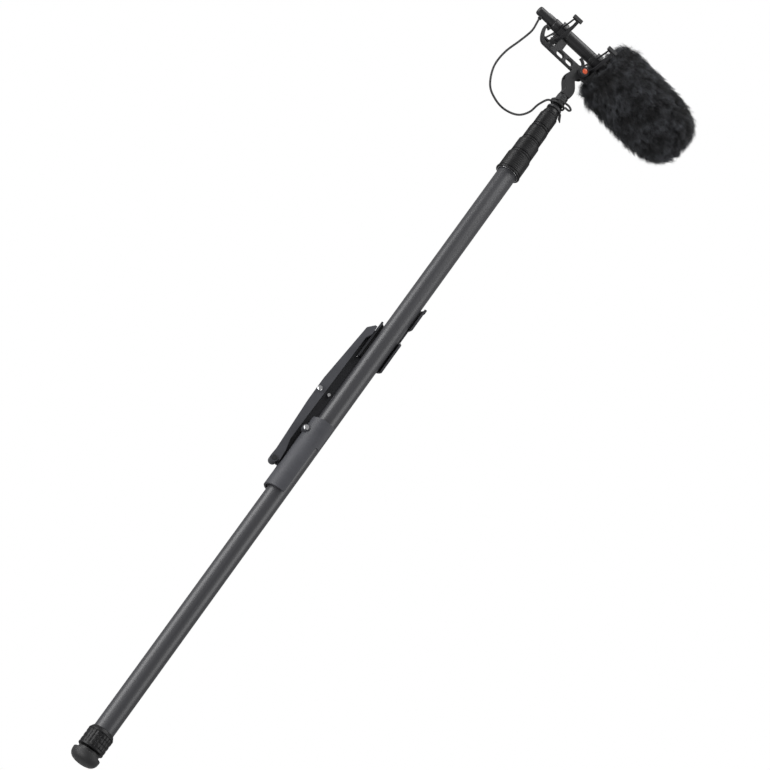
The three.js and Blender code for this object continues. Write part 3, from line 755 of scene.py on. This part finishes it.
def add_pile(name, strands, hairs_per_tuft, length, lift, half_width, gather, seed):
    """Mesh hair over the cover: tapering ribbons in tufts, each leaning its own way. Lengths are in mm."""
    rng = np.random.default_rng(seed)
    line, tangent, normal = cover_line(600)
    weight = np.cumsum(line[:, 0] * (line[:, 0] > HAIRLESS_RADIUS))
    row, angle = scatter(rng, strands, weight)
    radial, forward = (line[row] - normal[row] * HAIR_ROOT_DEPTH).T
    root = COVER_ORIGIN + to_cover(radial, forward, angle)
    out = to_cover(*normal[row].T, angle)
    ahead = to_cover(*tangent[row].T, angle)
    across = np.cross(out, ahead)

    tufts = round(strands / hairs_per_tuft)
    tuft_row, tuft_angle = scatter(rng, tufts, weight)
    centre = COVER_ORIGIN + to_cover(*line[tuft_row].T, tuft_angle)
    owner = nearest(root, centre)

    # Most hair at the rear rim is combed backwards; the rest leans forward, each tuft its own way.
    at_rim = (forward < 16.0) & (radial > 36.0) & (rng.random(strands) < 0.8)
    lie = rng.normal(0.0, 0.7, tufts)[owner] + rng.normal(0.0, 0.3, strands) + math.pi * at_rim
    flow = ahead * np.cos(lie)[:, None] + across * np.sin(lie)[:, None]

    # Hair is shorter and flatter on the rear face, round the microphone and beside the lyre.
    behind = np.clip(1 - forward / 9.0, 0, 1)
    near_mic = np.clip(1 - (radial - 15.0) / 34.0, 0, 1)
    beside_lyre = behind * np.exp(-((root[:, 2] - MIC_AXIS_Z + 10) / 17.0) ** 4)
    reach = rng.uniform(0.7, 1.12, tufts)[owner] * rng.uniform(0.8, 1.08, strands)
    full = length * reach * (1 - behind * (0.08 + 0.3 * near_mic)) * (1 - 0.45 * beside_lyre)
    rise = lift * (1 + behind * (0.25 - 0.6 * near_mic)) * (1 - 0.75 * beside_lyre)
    rise *= rng.uniform(0.72, 1.12, tufts)[owner] * rng.uniform(0.88, 1.08, strands)

    pull = centre[owner] - root
    pull -= out * np.sum(pull * out, axis=1)[:, None]
    sag = np.array([0.0, 0.0, -1.0])
    spin = rng.random(strands) * math.pi
    wide = (flow * 0.2 + across) * np.cos(spin)[:, None] + out * 0.5 * np.sin(spin)[:, None]
    wide /= np.linalg.norm(wide, axis=1)[:, None]
    curl = rng.normal(0, 0.07, (strands, 1)) * across

    corners, along = [], []
    for t, taper in ((0.0, 1.0), (0.36, 0.9), (0.72, 0.5), (1.0, 0.0)):
        mid = root + out * (full * rise * (1.25 * t - 0.35 * t * t))[:, None]
        mid = mid + (flow + curl * t) * (full * (0.25 * t + 0.52 * t * t))[:, None]
        mid = mid + pull * (gather * t * t) + sag * (full * 0.08 * t * t)[:, None]
        edge = wide * (half_width * taper)
        at_this_height = [mid - edge, mid + edge] if taper else [mid]
        corners += at_this_height
        along += [t] * len(at_this_height)
    made = bpy.data.objects.new(name, hair_mesh(name, np.stack(corners, axis=1), along))
    bpy.context.scene.collection.objects.link(made)
    stand_for(made, "suspension", ["fur_cover"])


# ---- build ----
add_tube("base_tube", "pole_base")
for i in range(2, 6):
    add_tube(f"tube_{i}", f"section_{i}")
for i in range(4):
    add_collar(i, f"lock_{i + 1}")
add_trim_ring()
add_foot()
add_tip()
add_bolts()
add_knob()
add_microphone()
add_cable()
add_backing()
add_pile(
    "windshield_pile", strands=36000, hairs_per_tuft=24, length=14.5, lift=0.66, half_width=0.24, gather=0.5,
    seed=SEED,
)
add_pile(
    "windshield_guard_hair", strands=28000, hairs_per_tuft=30, length=17.8, lift=0.7, half_width=0.19,
    gather=0.74, seed=SEED + 1,
)

for node in ("suspension_bar", "swivel_arm", "plug_shell", "cable_tie"):
    dress(node, BLACK, 0.45)
for node in ("rear_lyre", "front_lyre"):
    dress(node, BLACK, 0.3)
for node in ("lower_saddle", "upper_saddle", "support_spine"):
    dress(node, GREY, 0.6)
for node in ("lower_pad", "upper_pad", "windshield_core"):
    dress(node, FOAM, 0.3)
for node in ("plug_latch", "pivot_pin", "tip_stud"):
    dress(node, STEEL, 0.15)
dress("spine_pin", BLACK, 0.3)
dress("plug_boot", RUBBER, 0.2)
dress("end_plug", BLACK, 0.2)
for i in range(1, 5):
    dress(f"ferrule_{i}", GRIP, 0.15)
    dress(f"collet_{i}", BUSH, 0.15)
    dress(f"slide_bush_{i + 1}", BUSH, 0.15)


# ---- stage ----
AIM = Vector((0.0367, -0.0071, 0.7347))  # the middle of the view, in metres


def add_floor():
    """A pale sheet at the foot that shows only from above."""
    half = 6.0
    verts = [(-half, -half, 0), (half, -half, 0), (half, half, 0), (-half, half, 0)]
    s = Shader("pale_floor")
    s.set(Base_Color=s.between(s.noise(3.0, 3.0), (0.80, 0.80, 0.80), (0.84, 0.84, 0.84)), Roughness=0.8)
    s.set(Emission_Color=(0.8, 0.8, 0.8, 1.0), Emission_Strength=0.5)
    facing = s.node("ShaderNodeNewGeometry").outputs["Backfacing"]
    clear = s.node("ShaderNodeBsdfTransparent")
    mix = s.node("ShaderNodeMixShader")
    s.feed(mix.inputs[0], facing)
    s.feed(mix.inputs[1], s.bsdf.outputs[0])
    s.feed(mix.inputs[2], clear.outputs[0])
    s.feed(s.tree.nodes["Material Output"].inputs["Surface"], mix.outputs[0])
    floor = piece("floor", verts, [(0, 1, 2, 3)], s.mat)
    for ray in ("visible_shadow", "visible_diffuse", "visible_glossy"):
        setattr(floor, ray, False)


def add_world(seen, lit):
    world = bpy.data.worlds.new("studio")
    bpy.context.scene.world = world
    world.use_nodes = True
    tree = world.node_tree
    back = tree.nodes["Background"]
    back.inputs["Color"].default_value = (1.0, 1.0, 1.0, 1.0)
    path = tree.nodes.new("ShaderNodeLightPath")
    level = tree.nodes.new("ShaderNodeMapRange")
    level.inputs["To Min"].default_value = lit
    level.inputs["To Max"].default_value = seen
    tree.links.new(path.outputs["Is Camera Ray"], level.inputs["Value"])
    tree.links.new(level.outputs[0], back.inputs["Strength"])


def add_light(name, azimuth, elevation, distance, width, height, power):
    """A soft box that looks at the middle of the pole. Angles are as for the camera."""
    a, e = math.radians(azimuth), math.radians(elevation)
    way = Vector((math.sin(a) * math.cos(e), -math.cos(a) * math.cos(e), math.sin(e)))
    lamp = bpy.data.lights.new(name, "AREA")
    lamp.shape = "RECTANGLE"
    lamp.size = width
    lamp.size_y = height
    lamp.energy = power
    holder = bpy.data.objects.new(name, lamp)
    holder.location = AIM + way * distance
    holder.rotation_mode = "QUATERNION"
    holder.rotation_quaternion = way.to_track_quat("Z", "Y")
    bpy.context.scene.collection.objects.link(holder)


def add_camera():
    azimuth, elevation, roll = math.radians(-13.17), math.radians(-23.0), math.radians(35.7)
    distance, lens = 3.915, 121.6
    level = math.cos(elevation)
    back = Vector((math.sin(azimuth) * level, -math.cos(azimuth) * level, math.sin(elevation)))
    camera = bpy.data.cameras.new("photo_view")
    camera.lens = lens
    camera.sensor_width = 36.0
    camera.clip_end = 50.0
    holder = bpy.data.objects.new("photo_view", camera)
    holder.location = AIM + back * distance
    holder.rotation_mode = "QUATERNION"
    holder.rotation_quaternion = back.to_track_quat("Z", "Y") @ Quaternion((0, 0, 1), roll)
    bpy.context.scene.collection.objects.link(holder)
    bpy.context.scene.camera = holder


add_floor()
add_world(seen=1.0, lit=0.3)
add_light("key_strip", -84, 4, 2.2, 1.2, 3.2, 60)
add_light("right_panel", 50, 8, 2.6, 1.6, 3.0, 40)
add_light("low_left", -60, -45, 2.6, 1.4, 1.4, 30)
add_light("top", 20, 70, 2.2, 1.2, 1.2, 22)
add_camera()
bpy.context.scene.view_settings.view_transform = "Standard"
